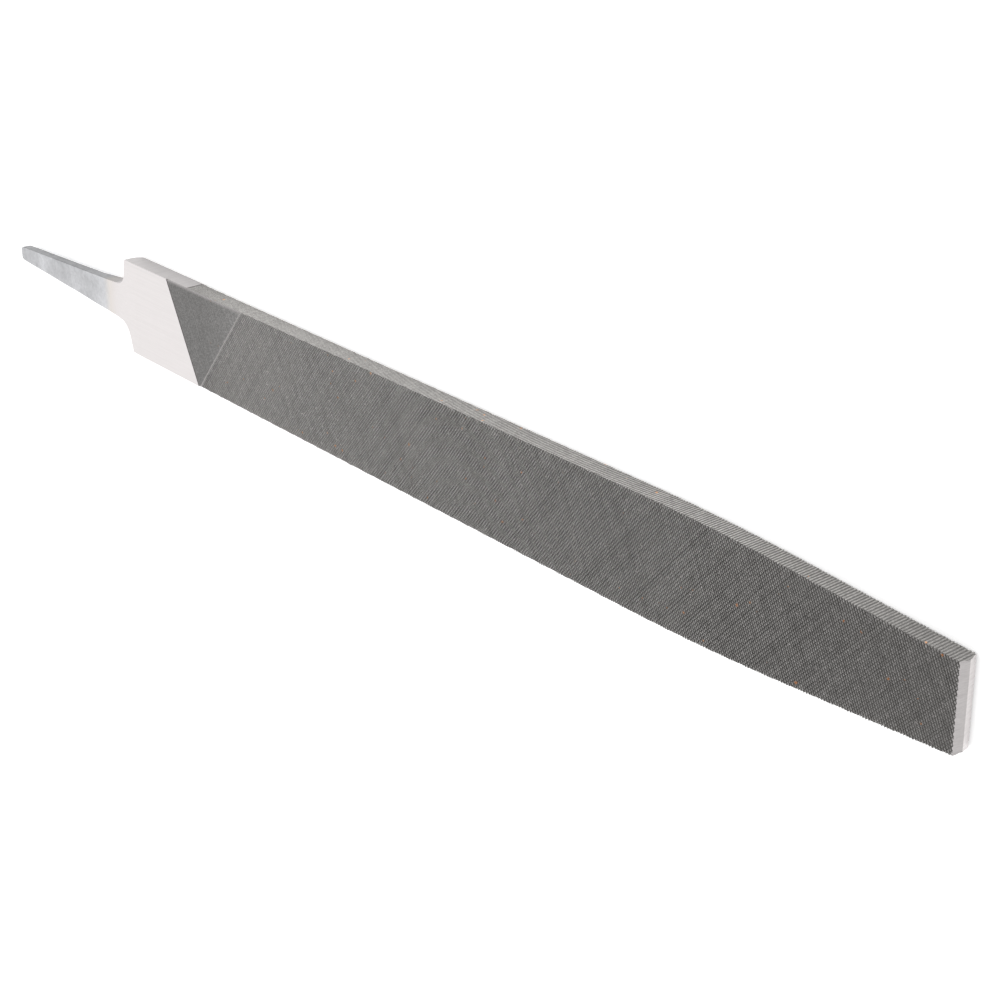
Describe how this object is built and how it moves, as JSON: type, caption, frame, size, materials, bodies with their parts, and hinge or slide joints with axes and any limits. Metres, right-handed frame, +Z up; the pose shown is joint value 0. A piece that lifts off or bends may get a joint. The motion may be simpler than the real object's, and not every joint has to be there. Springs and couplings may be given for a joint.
{
  "type": "flat file",
  "caption": "Flat metalworking file with a double-cut face on each side, single-cut edges, a tapering ground point and a bare forged tang for a handle.",
  "frame": {"origin": "on the surface that the file lies on, under the middle of its whole length and width", "axes": "+X along the file from the tang to the point, +Y across its width, +Z up through its thickness"},
  "size_m": [0.372, 0.028, 0.0054],
  "materials": {
    "forged_tang": "forged and pickled, mottled, with a faint straw tint beside the heel",
    "ground_steel": "bright ground steel with fine lines across the width",
    "cut_face": "chiselled and hardened, dark grey satin",
    "cut_edge": "chiselled and hardened, mid grey satin"
  },
  "bodies": {
    "root": {"tang": "forged_tang", "heel": "ground_steel", "blade_core": "ground_steel", "point": "ground_steel", "upper_lead_in": "cut_face", "lower_lead_in": "cut_face", "upper_face_cut": "cut_face", "lower_face_cut": "cut_face", "left_edge_cut": "cut_edge", "right_edge_cut": "cut_edge"}
  },
  "joints": []
}
